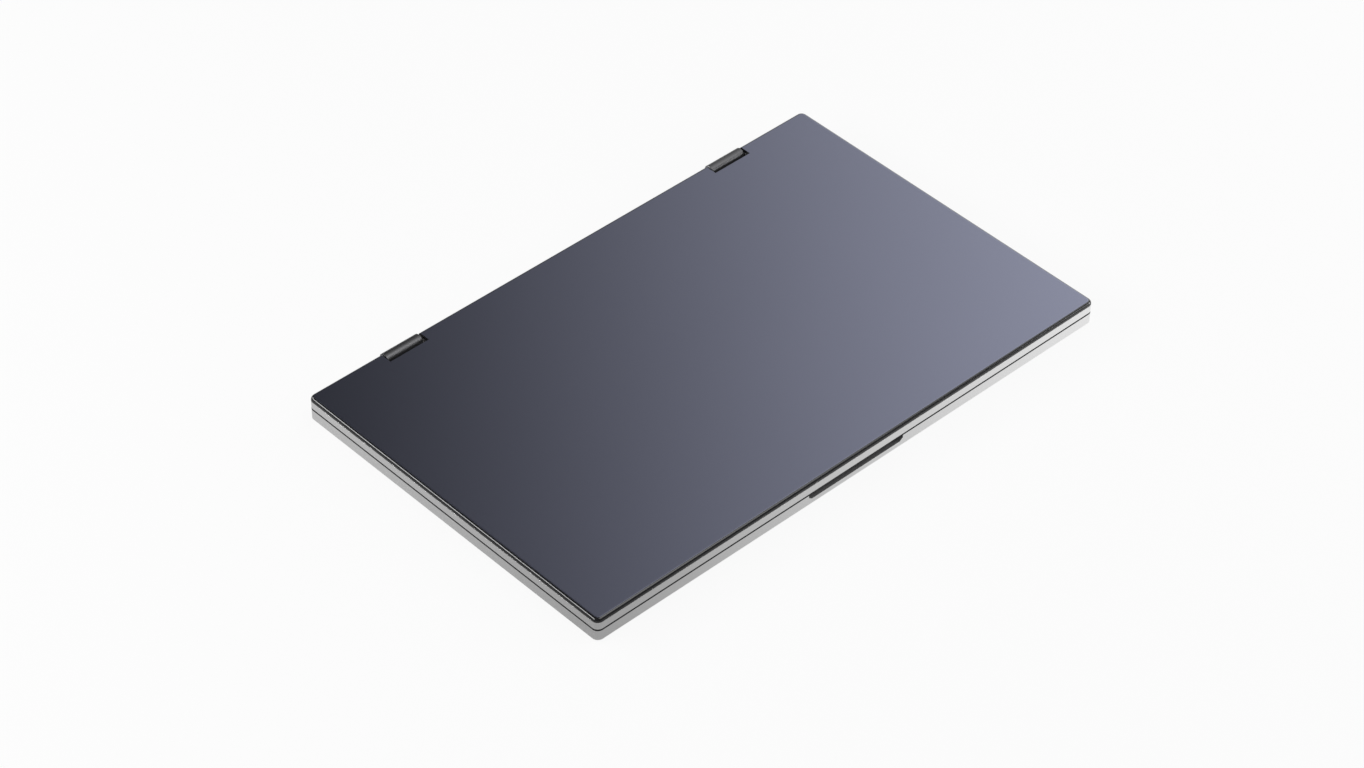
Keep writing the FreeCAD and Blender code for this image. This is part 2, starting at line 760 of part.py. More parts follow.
def build_boards():
    """Lay out the main board, the key board and the upper driver board with their chips."""
    main = Piece("main_board")
    main_left = "board_edge - main_board_width"
    main_front = "hdmi_place - hdmi_width / 2 - main_board_margin"
    main_back = "usb_first_place + usb_width / 2 + main_board_margin"
    main.pad("lower_base + board_floor", "lower_base + board_top",
             lambda o: o.rounded_box(main_left, "board_edge", main_front, main_back, "board_corner"))

    def port_cuts(outline):
        widths = {place: "usb_width" for place in usb_places()}
        widths["hdmi_place"] = "hdmi_width"
        for place, width in widths.items():
            outline.box("port_back - cutout_clearance", "board_edge + overcut",
                        f"{place} - {width} / 2 - cutout_clearance",
                        f"{place} + {width} / 2 + cutout_clearance")
    main.pocket("lower_base + board_floor - overcut", "lower_base + board_top + overcut", port_cuts)

    def chips(outline):
        middle = f"({main_front} + {main_back}) / 2"
        for left, length, front, width in MAIN_CHIPS:
            outline.box(f"{main_left} + {left}", f"{main_left} + {left + length}",
                        f"{middle} + ({front})", f"{middle} + ({front + width})")
    main.pad("lower_base + board_top", "lower_base + board_top + chip_height", chips)

    keys = Piece("key_board")
    keys.pad("lower_base + board_floor", "lower_base + board_top", lambda o: o.box(
        "key_back - key_travel - seat_clearance - key_board_width",
        "key_back - key_travel - seat_clearance",
        "down_key_place - key_length", "power_key_place + power_key_length"))

    switches = Piece("key_switches")

    def switch_boxes(outline):
        for place, _ in KEYS.values():
            outline.box("key_back - key_travel - seat_clearance - switch_depth",
                        "key_back - key_travel - seat_clearance",
                        f"{place} - switch_width / 2", f"{place} + switch_width / 2")
    switches.pad("lower_base + board_top", "lower_base + board_top + switch_height", switch_boxes)

    driver = Piece("upper_driver_board")
    driver.pad(*layer(UPPER, "board_floor", "board_top"), lambda o: o.rounded_box(
        "-driver_board_width / 2", "driver_board_width / 2", "driver_board_place",
        "driver_board_place + driver_board_depth", "board_corner"))

    def driver_chips(outline):
        front = "driver_board_place + driver_chip_inset"
        for step in (-1, 0, 1):
            middle = f"({step}) * driver_board_width / 3"
            outline.box(f"{middle} - driver_chip_length / 2", f"{middle} + driver_chip_length / 2",
                        front, f"{front} + driver_chip_width")
    driver.pad(*layer(UPPER, "board_top", "board_top + chip_height"), driver_chips)


def build_port(label, outer, tongue):
    """Form one connector's shell, closed at the back and open at the mouth, with a tongue inside.

    The outer shape takes an outline and how much it grows, and the tongue an outline.
    """
    port = Piece(label)
    port.pad("port_back", "port_mouth", lambda o: outer(o, "0"), plane="YZ_Plane")
    port.pocket("port_back + port_back_wall", "port_mouth + overcut",
                lambda o: outer(o, "-port_wall"), plane="YZ_Plane")
    port.pad("port_back + port_back_wall / 2", "port_mouth - tongue_setback", tongue, plane="YZ_Plane")


def build_ports():
    """Form the two reversible ports and the video port."""
    middle = "lower_base + port_height"
    for number, place in enumerate(usb_places(), start=1):
        build_port(f"usb_c_port_{number}", lambda o, grow: port_slot(o, place, grow), lambda o: o.box(
            f"{place} - usb_tongue_width / 2", f"{place} + usb_tongue_width / 2",
            f"{middle} - tongue_thickness / 2", f"{middle} + tongue_thickness / 2"))
    build_port("mini_hdmi_port", hdmi_outline, lambda o: o.box(
        "hdmi_place - hdmi_tongue_width / 2", "hdmi_place + hdmi_tongue_width / 2",
        middle, f"{middle} + tongue_thickness"))


def build_keys():
    """Mould the three side keys, each with a flange that stops behind the frame's wall."""
    for label, (place, length) in KEYS.items():
        key = Piece(label)
        key.pad("key_back", "half_width + key_proud",
                lambda o: key_outline(o, place, length, "0"), plane="YZ_Plane")
        key.dress("Chamfer", at_place("half_width + key_proud"), "key_chamfer", "Size")
        flange = "(key_thickness / 2 + key_flange)"
        key.pad("key_back", "wall_inner - key_slide_clearance", lambda o: o.box(
            f"{place} - {length} / 2 - key_flange", f"{place} + {length} / 2 + key_flange",
            f"key_level - {flange}", f"key_level + {flange}"), plane="YZ_Plane")


def build_screws():
    """Turn the heads of the bottom cover's flush screws and of the hinge leaves' screws."""
    screws = Piece("cover_screws")

    def heads(outline):
        for along, across in screw_places():
            outline.ring(along, across, "screw_head_radius")
    screws.pad("lower_base + seat_clearance", "lower_base + screw_head_height", heads)
    for side in (LOWER, UPPER):
        fixings = Piece(f"{side}_leaf_screws")
        low = "ear_low - screw_head_height"

        def leaf_heads(outline):
            for hand in HANDS:
                for along, across in leaf_screw_places(hand):
                    outline.ring(along, across, "screw_head_radius")
        fixings.pad(*layer(side, low, "ear_low"), leaf_heads)


def gear_section(along, height):
    """Draw a toothed gear's outline square to X, with one tooth pointing straight up.

    Each flank runs straight from the root circle to the point where an involute of the
    base circle, thinned by the backlash, meets the tip circle.
    """
    teeth = int(size("gear_teeth"))
    pitch = size("gear_pitch_radius")
    tip = pitch + size("gear_addendum")
    root = pitch - size("gear_dedendum")
    pressure = math.radians(size("gear_pressure_angle"))
    base = pitch * math.cos(pressure)
    involute_at_pitch = math.tan(pressure) - pressure
    half_tooth = math.pi / (2 * teeth) - size("gear_backlash") / (2 * pitch)
    tip_angle = math.acos(base / tip)
    profile = [(root, half_tooth + involute_at_pitch),
               (tip, half_tooth + involute_at_pitch - (math.tan(tip_angle) - tip_angle))]
    centre_y = size("axis_place")
    centre_z = size(height)
    x = size(along)
    points = []
    for tooth in range(teeth):
        middle = math.pi / 2 + tooth * 2 * math.pi / teeth
        for radius, offset in profile:
            points.append((radius, middle - offset))
        for radius, offset in reversed(profile):
            points.append((radius, middle + offset))
    corners = [Vector(x, centre_y + r * math.cos(a), centre_z + r * math.sin(a)) for r, a in points]
    return Part.Face(Part.makePolygon(corners + corners[:1]))


def build_gear(label, hand, height, bore):
    """Cut one gear of the train that keeps both panels turning alike."""
    start, end = span(hand, "gear_start", "gear_end")
    blank = gear_section(start, height).extrude(Vector(size(f"({end}) - ({start})"), 0, 0))
    centre = Vector(size(start), size("axis_place"), size(height))
    hole = Part.makeCylinder(size(bore), size(f"({end}) - ({start})"), centre, Vector(1, 0, 0))
    gear = document.addObject("Part::Feature", label)
    gear.Label = label
    gear.Shape = blank.cut(hole)
    Piece.all_pieces.append(gear)


IDLERS = {
    "low": "lower_axis + axis_pitch / 3",
    "high": "lower_axis + axis_pitch * 2 / 3",
}


def build_shaft_set(side, hand):
    """Build one shaft with its leaf, gear and lock nut, all turning with a panel."""
    name = HANDS[hand]
    height = axis_height(side)
    leaf = Piece(f"{side}_leaf_{name}")
    ear_low_x, ear_high_x = flank(hand, "ear_outer - ear_thickness", "ear_outer")
    near, far = layer(side, "ear_low", "ear_high")
    leaf.pad(ear_low_x, ear_high_x,
             lambda o: o.box("leaf_back", "axis_place", near, far), plane="YZ_Plane")
    leaf.pad(ear_low_x, ear_high_x,
             lambda o: o.ring("axis_place", height, "ear_radius", "round_sides"), plane="YZ_Plane")
    plate_low, plate_high = flank(hand, "notch_inner + notch_wall", "ear_outer")

    def plate(outline):
        outline.rounded_box(plate_low, plate_high, "leaf_front", "leaf_back + seat_clearance",
                            "leaf_corner")
    leaf.pad(*layer(side, "ear_low", "ear_low + leaf_thickness"), plate)
    leaf.pocket(f"{ear_low_x} - overcut", f"{ear_high_x} + overcut",
                lambda o: o.ring("axis_place", height, "shaft_radius + bore_allowance"),
                plane="YZ_Plane")

    shaft = Piece(f"{side}_shaft_{name}")
    outer_end, inner_end = span(hand, "link_outer - ear_outer", "shaft_end")
    shaft.pad(outer_end, inner_end,
              lambda o: o.circle("axis_place", height, "spindle_radius"), plane="YZ_Plane")
    shaft.pad(*span(hand, "link_outer - ear_outer", "carrier_thickness"),
              lambda o: o.circle("axis_place", height, "shaft_radius"), plane="YZ_Plane")

    build_gear(f"{side}_gear_{name}", hand, height, "spindle_radius + fit_clearance")

    nut = Piece(f"{side}_nut_{name}")

    def hexagon(outline):
        radius = "(nut_flats / 2 / cos(30 deg))"
        corners = []
        for turn in range(6):
            angle = 30 + 60 * turn
            corners.append((f"axis_place + {radius} * cos({angle} deg)",
                            f"{height} + {radius} * sin({angle} deg)"))
        outline.polygon(corners)
    start, end = span(hand, "washer_end", "nut_end")
    nut.pad(start, end, hexagon, plane="YZ_Plane")
    nut.pocket(f"{start} - overcut", f"{end} + overcut",
               lambda o: o.ring("axis_place", height, "spindle_radius + bore_allowance"), plane="YZ_Plane")


def link_slot(outline, radius):
    """Draw the link's upright round-ended section."""
    outline.slot("axis_place", "lower_axis", "axis_place", "upper_axis", radius)


def both_axes(outline, radius):
    """Draw a small round outline on each hinge axis."""
    outline.ring("axis_place", "lower_axis", radius)
    outline.ring("axis_place", "upper_axis", radius)


def build_link(hand):
    """Build one link: its cover, carrier plates, torque plates, spring washers, pins and idlers."""
    name = HANDS[hand]
    cover = Piece(f"link_cover_{name}")
    low, high = span(hand, "0", "link_length")
    closed_end = high if hand == LEFT else low
    cover.pad(low, high, lambda o: link_slot(o, "link_radius"), plane="YZ_Plane")
    cover.dress("Chamfer", at_place(closed_end), "link_end_chamfer", "Size")
    hollow_low, hollow_high = span(hand, "-overcut", "link_length - link_end_wall")
    cover.pocket(hollow_low, hollow_high,
                 lambda o: link_slot(o, "link_radius - link_wall"), plane="YZ_Plane")

    carrier = Piece(f"carrier_plates_{name}")
    for near, far, journal in (("0", "carrier_thickness", "shaft_radius"),
                               ("inner_plate_start", "inner_plate_end", "spindle_radius")):
        low, high = span(hand, near, far)

        def section(outline):
            outline.clipped_slot("axis_place", "lower_axis", "upper_axis", "inner_plate_radius")
            both_axes(outline, f"{journal} + bore_allowance + running_clearance")
            for height in IDLERS.values():
                outline.ring("axis_place", height, "idler_pin_radius + bore_allowance")
        carrier.pad(low, high, section, plane="YZ_Plane")

    pins = Piece(f"idler_pins_{name}")
    low, high = span(hand, "carrier_thickness / 2", "inner_plate_end - carrier_thickness / 2")

    def pin_circles(outline):
        for height in IDLERS.values():
            outline.circle("axis_place", height, "idler_pin_radius")
    pins.pad(low, high, pin_circles, plane="YZ_Plane")

    plates = Piece(f"torque_plates_{name}")
    for index in range(int(size("torque_plate_count"))):
        low, high = span(hand, f"torque_start + {index} * torque_pitch",
                         f"torque_start + {index} * torque_pitch + torque_plate_thickness")

        def plate_section(outline):
            outline.clipped_slot("axis_place", "lower_axis", "upper_axis", "inner_plate_radius")
            both_axes(outline, "spindle_radius + bore_allowance + running_clearance")
        plates.pad(low, high, plate_section, plane="YZ_Plane")

    washers = Piece(f"spring_washers_{name}")
    for index in range(int(size("washer_count"))):
        low, high = span(hand, f"torque_end + {index} * washer_pitch",
                         f"torque_end + {index} * washer_pitch + washer_thickness")

        def washer_section(outline):
            both_axes(outline, "washer_radius")
            both_axes(outline, "spindle_radius + bore_allowance + running_clearance")
        washers.pad(low, high, washer_section, plane="YZ_Plane")

    for level, height in IDLERS.items():
        build_gear(f"idler_{level}_{name}", hand, height, "idler_pin_radius + running_clearance")


build_lower_frame()
build_upper_frame()
build_covers()
build_feet_and_bumpers()
build_screen(LOWER)
build_screen(UPPER)
build_boards()
build_ports()
build_keys()
build_screws()
for panel_side in (LOWER, UPPER):
    for hinge_hand in HANDS:
        build_shaft_set(panel_side, hinge_hand)
for hinge_hand in HANDS:
    build_link(hinge_hand)
document.recompute()

# Every object must be sound before any file is written.
for item in document.Objects:
    if "Invalid" in item.State or "Error" in item.State:
        raise RuntimeError(f"{item.Label}: {item.State}")
for item in Piece.all_pieces:
    if item.Shape.isNull() or not item.Shape.isValid():
        raise RuntimeError(f"{item.Label}: the shape isn't valid")

os.makedirs("parts", exist_ok=True)
for item in Piece.all_pieces:
    item.Shape.exportStep(f"parts/{item.Label}.step")
    bounds = item.Shape.BoundBox
    print(f"{item.Label}: {len(item.Shape.Solids)} solids, {item.Shape.Volume:.1f} mm3, "
          f"x {bounds.XMin:.2f}..{bounds.XMax:.2f}, y {bounds.YMin:.2f}..{bounds.YMax:.2f}, "
          f"z {bounds.ZMin:.2f}..{bounds.ZMax:.2f}")
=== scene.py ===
"""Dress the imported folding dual-screen monitor, light it like the studio picture and set its camera."""
import logging
import math
from dataclasses import dataclass, field
from enum import Enum

import bpy
import numpy as np
from mathutils import Matrix, Vector


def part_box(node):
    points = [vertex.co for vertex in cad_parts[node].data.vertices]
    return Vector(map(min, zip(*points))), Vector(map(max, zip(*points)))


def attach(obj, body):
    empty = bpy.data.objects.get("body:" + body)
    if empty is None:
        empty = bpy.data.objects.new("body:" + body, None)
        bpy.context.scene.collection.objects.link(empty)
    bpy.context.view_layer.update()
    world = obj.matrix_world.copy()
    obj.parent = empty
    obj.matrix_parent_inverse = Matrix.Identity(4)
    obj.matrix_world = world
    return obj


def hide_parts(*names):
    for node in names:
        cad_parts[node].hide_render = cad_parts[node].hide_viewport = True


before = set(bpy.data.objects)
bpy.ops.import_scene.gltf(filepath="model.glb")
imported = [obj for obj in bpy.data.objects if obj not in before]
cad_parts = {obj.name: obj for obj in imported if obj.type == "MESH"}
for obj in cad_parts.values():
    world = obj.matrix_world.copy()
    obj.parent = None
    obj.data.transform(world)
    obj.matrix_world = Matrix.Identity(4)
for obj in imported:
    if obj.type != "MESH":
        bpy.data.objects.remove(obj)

logging.basicConfig(level=logging.INFO, format="%(message)s")
log = logging.getLogger("folding_monitor")

MM = 0.001
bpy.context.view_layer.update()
HANDS = ("left", "right")

Colour = tuple[float, float, float]
Socket = bpy.types.NodeSocket


class Grain(Enum):
    """Direction that a brushed or moulded surface's fine texture runs in."""

    ALONG_X = (0.02, 1.0, 1.0)
    ALONG_Y = (1.0, 0.02, 1.0)
    EVEN = (1.0, 1.0, 1.0)


class NodeSheet:
    """A shader or group node tree with short ways to add and join its nodes."""

    def __init__(self, tree: bpy.types.NodeTree) -> None:
        """Keep the tree that nodes are added to.

        Args:
            tree: The node tree of a material, a world or a node group.
        """
        self.tree = tree

    def add(self, kind: str, **settings: object) -> bpy.types.Node:
        """Add a node and set its properties.

        Args:
            kind: The node's type name, without its ShaderNode prefix where it has one.
            settings: Property values by name.

        Returns:
            The new node.
        """
        name = kind if kind.startswith("Node") else f"ShaderNode{kind}"
        node = self.tree.nodes.new(name)
        for key, value in settings.items():
            setattr(node, key, value)
        return node

    def link(self, source: Socket, target: Socket) -> None:
        """Join an output to an input."""
        self.tree.links.new(source, target)

    def math(self, operation: str, first: Socket | float, second: Socket | float = 0.0) -> Socket:
        """Add a Math node and feed its two inputs.

        Args:
            operation: Blender's name for the operation.
            first: A socket or a number for the first input.
            second: A socket or a number for the second input.

        Returns:
            The result socket.
        """
        node = self.add("Math", operation=operation)
        for index, value in enumerate((first, second)):
            if isinstance(value, (int, float)):
                node.inputs[index].default_value = value
            else:
                self.link(value, node.inputs[index])
        return node.outputs[0]

    def mix_colour(self, factor: Socket, low: Socket | Colour, high: Socket | Colour) -> Socket:
        """Blend two colours by a factor.

        Args:
            factor: The socket that gives the share of the second colour.
            low: The colour, or its socket, where the factor is 0.
            high: The colour, or its socket, where the factor is 1.

        Returns:
            The blended colour's socket.
        """
        node = self.add("Mix", data_type="RGBA")
        self.link(factor, node.inputs[0])
        for index, value in ((6, low), (7, high)):
            if isinstance(value, tuple):
                node.inputs[index].default_value = (*value, 1.0)
            else:
                self.link(value, node.inputs[index])
        return node.outputs[2]

    def spread(self, value: Socket, low: float, high: float) -> Socket:
        """Map a 0 to 1 value onto a range."""
        node = self.add("MapRange")
        self.link(value, node.inputs[0])
        node.inputs[3].default_value = low
        node.inputs[4].default_value = high
        return node.outputs[0]


class SharedGroups:
    """Shader node groups that several finishes use."""

    def __init__(self) -> None:
        """Build every group once."""
        self.streaks = self._build_streaks()
        self.mottle = self._build_mottle()
        self.band = self._build_band()
        self.fade = self._build_fade()
        self.inside = self._build_inside()

    @staticmethod
    def _new_group(name: str, inputs: dict[str, str], outputs: dict[str, str]) -> bpy.types.NodeTree:
        """Make an empty group with the sockets given as name and type."""
        tree = bpy.data.node_groups.new(name, "ShaderNodeTree")
        for label, kind in inputs.items():
            tree.interface.new_socket(label, in_out="INPUT", socket_type=kind)
        for label, kind in outputs.items():
            tree.interface.new_socket(label, in_out="OUTPUT", socket_type=kind)
        return tree

    def _build_streaks(self) -> bpy.types.NodeTree:
        """Build fine brushing: two noises stretched along the grain, a coarse and a fine one, averaged."""
        tree = self._new_group("fine_brushing", {"Grain": "NodeSocketVector"},
                               {"Streaks": "NodeSocketFloat"})
        sheet = NodeSheet(tree)
        entry = sheet.add("NodeGroupInput")
        exit_node = sheet.add("NodeGroupOutput")
        place = sheet.add("TexCoord")
        stretch = sheet.add("VectorMath", operation="MULTIPLY")
        sheet.link(place.outputs["Object"], stretch.inputs[0])
        sheet.link(entry.outputs["Grain"], stretch.inputs[1])
        coarse = sheet.add("TexNoise")
        coarse.inputs["Scale"].default_value = 1800.0
        coarse.inputs["Detail"].default_value = 3.0
        fine = sheet.add("TexNoise")
        fine.inputs["Scale"].default_value = 7000.0
        fine.inputs["Detail"].default_value = 2.0
        for noise in (coarse, fine):
            sheet.link(stretch.outputs[0], noise.inputs["Vector"])
        total = sheet.math("ADD", coarse.outputs[0], fine.outputs[0])
        sheet.link(sheet.math("MULTIPLY", total, 0.5), exit_node.inputs[0])
        return tree

    def _build_mottle(self) -> bpy.types.NodeTree:
        """Build a fine even speckle over a slow cloudiness, as on coats and mouldings."""
        tree = self._new_group("fine_mottle", {"Speckle Scale": "NodeSocketFloat"},
                               {"Speckle": "NodeSocketFloat", "Cloud": "NodeSocketFloat"})
        sheet = NodeSheet(tree)
        entry = sheet.add("NodeGroupInput")
        exit_node = sheet.add("NodeGroupOutput")
        place = sheet.add("TexCoord")
        speckle = sheet.add("TexNoise")
        speckle.inputs["Detail"].default_value = 2.0
        sheet.link(place.outputs["Object"], speckle.inputs["Vector"])
        sheet.link(entry.outputs[0], speckle.inputs["Scale"])
        cloud = sheet.add("TexNoise")
        cloud.inputs["Scale"].default_value = 14.0
        cloud.inputs["Detail"].default_value = 3.0
        sheet.link(place.outputs["Object"], cloud.inputs["Vector"])
        sheet.link(speckle.outputs[0], exit_node.inputs[0])
        sheet.link(cloud.outputs[0], exit_node.inputs[1])
        return tree

    def _build_band(self) -> bpy.types.NodeTree:
        """Build a mask that is 1 within half a width of a height, and 0 elsewhere."""
        tree = self._new_group("height_band",
                               {"Height": "NodeSocketFloat", "Half Width": "NodeSocketFloat"},
                               {"Mask": "NodeSocketFloat"})
        sheet = NodeSheet(tree)
        entry = sheet.add("NodeGroupInput")
        exit_node = sheet.add("NodeGroupOutput")
        place = sheet.add("TexCoord")
        split = sheet.add("SeparateXYZ")
        sheet.link(place.outputs["Object"], split.inputs[0])
        distance = sheet.math("ABSOLUTE", sheet.math("SUBTRACT", split.outputs[2], entry.outputs[0]))
        sheet.link(sheet.math("LESS_THAN", distance, entry.outputs[1]), exit_node.inputs[0])
        return tree

    def _build_fade(self) -> bpy.types.NodeTree:
        """Build a mask that is 0 above one height and 1 below another, with a soft change between."""
        tree = self._new_group("height_fade", {"Top": "NodeSocketFloat", "Bottom": "NodeSocketFloat"},
                               {"Mask": "NodeSocketFloat"})
        sheet = NodeSheet(tree)
        entry = sheet.add("NodeGroupInput")
        exit_node = sheet.add("NodeGroupOutput")
        place = sheet.add("TexCoord")
        split = sheet.add("SeparateXYZ")
        sheet.link(place.outputs["Object"], split.inputs[0])
        fade = sheet.add("MapRange", interpolation_type="SMOOTHSTEP")
        sheet.link(split.outputs[2], fade.inputs[0])
        sheet.link(entry.outputs[0], fade.inputs[1])
        sheet.link(entry.outputs[1], fade.inputs[2])
        sheet.link(fade.outputs[0], exit_node.inputs[0])
        return tree

    def _build_inside(self) -> bpy.types.NodeTree:
        """Build a mask that is 1 inside a box between two corners, and 0 elsewhere."""
        tree = self._new_group("inside_box", {"Low": "NodeSocketVector", "High": "NodeSocketVector"},
                               {"Mask": "NodeSocketFloat"})
        sheet = NodeSheet(tree)
        entry = sheet.add("NodeGroupInput")
        exit_node = sheet.add("NodeGroupOutput")
        place = sheet.add("TexCoord")
        splits = []
        for source in (place.outputs["Object"], entry.outputs[0], entry.outputs[1]):
            split = sheet.add("SeparateXYZ")
            sheet.link(source, split.inputs[0])
            splits.append(split)
        mask: Socket | float = 1.0
        for axis in range(3):
            above = sheet.math("GREATER_THAN", splits[0].outputs[axis], splits[1].outputs[axis])
            below = sheet.math("LESS_THAN", splits[0].outputs[axis], splits[2].outputs[axis])
            mask = sheet.math("MULTIPLY", sheet.math("MULTIPLY", above, below), mask)
        sheet.link(mask, exit_node.inputs[0])
        return tree


@dataclass(frozen=True)
class PaintedShade:
    """Painted shade on a metal piece: a dark band about given heights, over the flat faces there and the
    walls along the parting gap, and dark grey inside a box.
    """

    heights: tuple[float, ...]
    half_width: float
    box_low: Vector
    box_high: Vector
    # painted shade in the parting gap; on the inner faces it also stands as a black bezel
    gap_shade_colour: Colour = (0.016, 0.016, 0.018)
    # painted shade inside the finger recess, under the upper panel's overhang
    recess_shade_colour: Colour = (0.11, 0.11, 0.112)
    roughness: float = 0.5


@dataclass(frozen=True)
class PaintedReflectionEdge:
    """Painted dark reflection: a glossy black edge that a lacquered sheet fades into below its face."""

    fade_top: float
    fade_bottom: float
    # black painted in place of the dark reflection that the rounded edge shows
    colour: Colour = (0.008, 0.008, 0.009)
    roughness: float = 0.16


@dataclass(frozen=True)
class Finish:
    """A surface finish: its colour, gloss and fine texture."""

    name: str
    colour: Colour
    metallic: float = 0.0
    roughness: float = 0.4
    roughness_swing: float = 0.06
    colour_swing: float = 0.06
    bump: float = 0.05
    grain: Grain = Grain.EVEN
    speckle_scale: float = 3000.0
    anisotropic: float = 0.0
    coat: float = 0.0
    coat_roughness: float = 0.1
    specular: float = 0.5
    transmission: float = 0.0
    edge_radius: float = 0.0
    painted_shade: PaintedShade | None = None
    edge: PaintedReflectionEdge | None = None
    window: tuple[Vector, Vector] | None = None
    border_colour: Colour = (0.006, 0.006, 0.007)

    def make(self, groups: SharedGroups) -> bpy.types.Material:
        """Build the finish's material.

        Args:
            groups: The shared node groups.

        Returns:
            The finished material.
        """
        material = bpy.data.materials.new(self.name)
        material.use_nodes = True
        sheet = NodeSheet(material.node_tree)
        shader = material.node_tree.nodes["Principled BSDF"]
        shader.inputs["Metallic"].default_value = self.metallic
        shader.inputs["Specular IOR Level"].default_value = self.specular
        shader.inputs["Coat Weight"].default_value = self.coat
        shader.inputs["Coat Roughness"].default_value = self.coat_roughness
        shader.inputs["Transmission Weight"].default_value = self.transmission
        shader.inputs["Anisotropic"].default_value = self.anisotropic
        texture, cloud = self._texture(sheet, groups)
        dark = tuple(c * (1.0 - self.colour_swing) for c in self.colour)
        light = tuple(min(1.0, c * (1.0 + self.colour_swing)) for c in self.colour)
        colour = sheet.mix_colour(cloud, dark, light)
        rough = sheet.spread(texture, self.roughness - self.roughness_swing,
                             self.roughness + self.roughness_swing)
        if self.painted_shade is not None:
            colour, rough = self._paint_shade(sheet, groups, shader, colour, rough)
        if self.edge is not None:
            colour, rough = self._paint_edge_reflection(sheet, groups, shader, colour, rough)
        if self.window is not None:
            colour = self._print_border(sheet, groups, shader, colour)
        sheet.link(colour, shader.inputs["Base Color"])
        sheet.link(rough, shader.inputs["Roughness"])
        self._relief(sheet, shader, texture)
        return material

    def _paint_shade(self, sheet: NodeSheet, groups: SharedGroups, shader: bpy.types.Node,
               colour: Socket, rough: Socket) -> tuple[Socket, Socket]:
        """Lay the painted shade over the metal, along the parting gap and inside the recess.

        Args:
            sheet: The material's node sheet.
            groups: The shared node groups.
            shader: The material's shader, whose metal look ends where the shade is painted.
            colour: The bare metal's colour.
            rough: The bare metal's roughness.

        Returns:
            The colour and the roughness with the painted shade laid on.
        """
        # painted shade: a dark band along the parting gap, over the frames' inner faces too
        gap_shade: Socket | float = 0.0
        for height in self.painted_shade.heights:
            band = sheet.add("Group", node_tree=groups.band)
            band.inputs[0].default_value = height
            band.inputs[1].default_value = self.painted_shade.half_width
            gap_shade = sheet.math("MAXIMUM", band.outputs[0], gap_shade)
        # painted shade: dark grey inside the finger recess's box
        inside = sheet.add("Group", node_tree=groups.inside)
        inside.inputs[0].default_value = self.painted_shade.box_low
        inside.inputs[1].default_value = self.painted_shade.box_high
        colour = sheet.mix_colour(inside.outputs[0], colour, self.painted_shade.recess_shade_colour)
        colour = sheet.mix_colour(gap_shade, colour, self.painted_shade.gap_shade_colour)
        shade_mask = sheet.math("MAXIMUM", inside.outputs[0], gap_shade)
        unshaded = sheet.math("SUBTRACT", 1.0, shade_mask)
        sheet.link(sheet.math("MULTIPLY", unshaded, self.metallic), shader.inputs["Metallic"])
        shade_rough = sheet.math("MULTIPLY", shade_mask, self.painted_shade.roughness)
        return colour, sheet.math("ADD", sheet.math("MULTIPLY", unshaded, rough), shade_rough)

    def _print_border(self, sheet: NodeSheet, groups: SharedGroups, shader: bpy.types.Node,
                      colour: Socket) -> Socket:
        """Print an opaque black border on clear glass outside its window.

        Args:
            sheet: The material's node sheet.
            groups: The shared node groups.
            shader: The material's shader, which lets light through in the window alone.
            colour: The glass's colour.

        Returns:
            The colour with the border.
        """
        inside = sheet.add("Group", node_tree=groups.inside)
        inside.inputs[0].default_value, inside.inputs[1].default_value = self.window
        clear = sheet.math("MULTIPLY", inside.outputs[0], self.transmission)
        sheet.link(clear, shader.inputs["Transmission Weight"])
        return sheet.mix_colour(inside.outputs[0], self.border_colour, colour)

    def _paint_edge_reflection(self, sheet: NodeSheet, groups: SharedGroups, shader: bpy.types.Node,
                      colour: Socket, rough: Socket) -> tuple[Socket, Socket]:
        """Fade the sheet's look into its black edge, a painted dark reflection.

        Args:
            sheet: The material's node sheet.
            groups: The shared node groups.
            shader: The material's shader, whose metal look fades out.
            colour: The face's colour.
            rough: The face's roughness.

        Returns:
            The colour and the roughness with the black edge.
        """
        # painted dark reflection: the cover's rounded edge fades to glossy black
        fade = sheet.add("Group", node_tree=groups.fade)
        fade.inputs[0].default_value = self.edge.fade_top
        fade.inputs[1].default_value = self.edge.fade_bottom
        face = sheet.math("SUBTRACT", 1.0, fade.outputs[0])
        sheet.link(sheet.math("MULTIPLY", face, self.metallic), shader.inputs["Metallic"])
        black = sheet.math("MULTIPLY", fade.outputs[0], self.edge.roughness)
        rough = sheet.math("ADD", sheet.math("MULTIPLY", face, rough), black)
        return sheet.mix_colour(fade.outputs[0], colour, self.edge.colour), rough

    def _texture(self, sheet: NodeSheet, groups: SharedGroups) -> tuple[Socket, Socket]:
        """Add the fine texture and the slow colour variation.

        Args:
            sheet: The material's node sheet.
            groups: The shared node groups.

        Returns:
            The fine texture's socket and the slow variation's socket.
        """
        mottle = sheet.add("Group", node_tree=groups.mottle)
        mottle.inputs[0].default_value = self.speckle_scale
        if self.grain is Grain.EVEN:
            return mottle.outputs[0], mottle.outputs[1]
        streaks = sheet.add("Group", node_tree=groups.streaks)
        streaks.inputs[0].default_value = self.grain.value
        return streaks.outputs[0], streaks.outputs[0]

    def _relief(self, sheet: NodeSheet, shader: bpy.types.Node, texture: Socket) -> None:
        """Add the bump of the fine texture and the softened edges."""
        bump = sheet.add("Bump")
        bump.inputs["Strength"].default_value = self.bump
        bump.inputs["Distance"].default_value = 0.02 * MM
        sheet.link(texture, bump.inputs["Height"])
        if self.edge_radius > 0.0:
            bevel = sheet.add("Bevel", samples=6)
            bevel.inputs["Radius"].default_value = self.edge_radius
            sheet.link(bevel.outputs[0], bump.inputs["Normal"])
        sheet.link(bump.outputs[0], shader.inputs["Normal"])


def dress(node: str, material: bpy.types.Material) -> None:
    """Give every material slot of a CAD node the finish.

    Args:
        node: The CAD node's name.
        material: The finish's material.
    """
    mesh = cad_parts[node].data
    if not mesh.materials:
        mesh.materials.append(material)
    for index in range(len(mesh.materials)):
        mesh.materials[index] = material


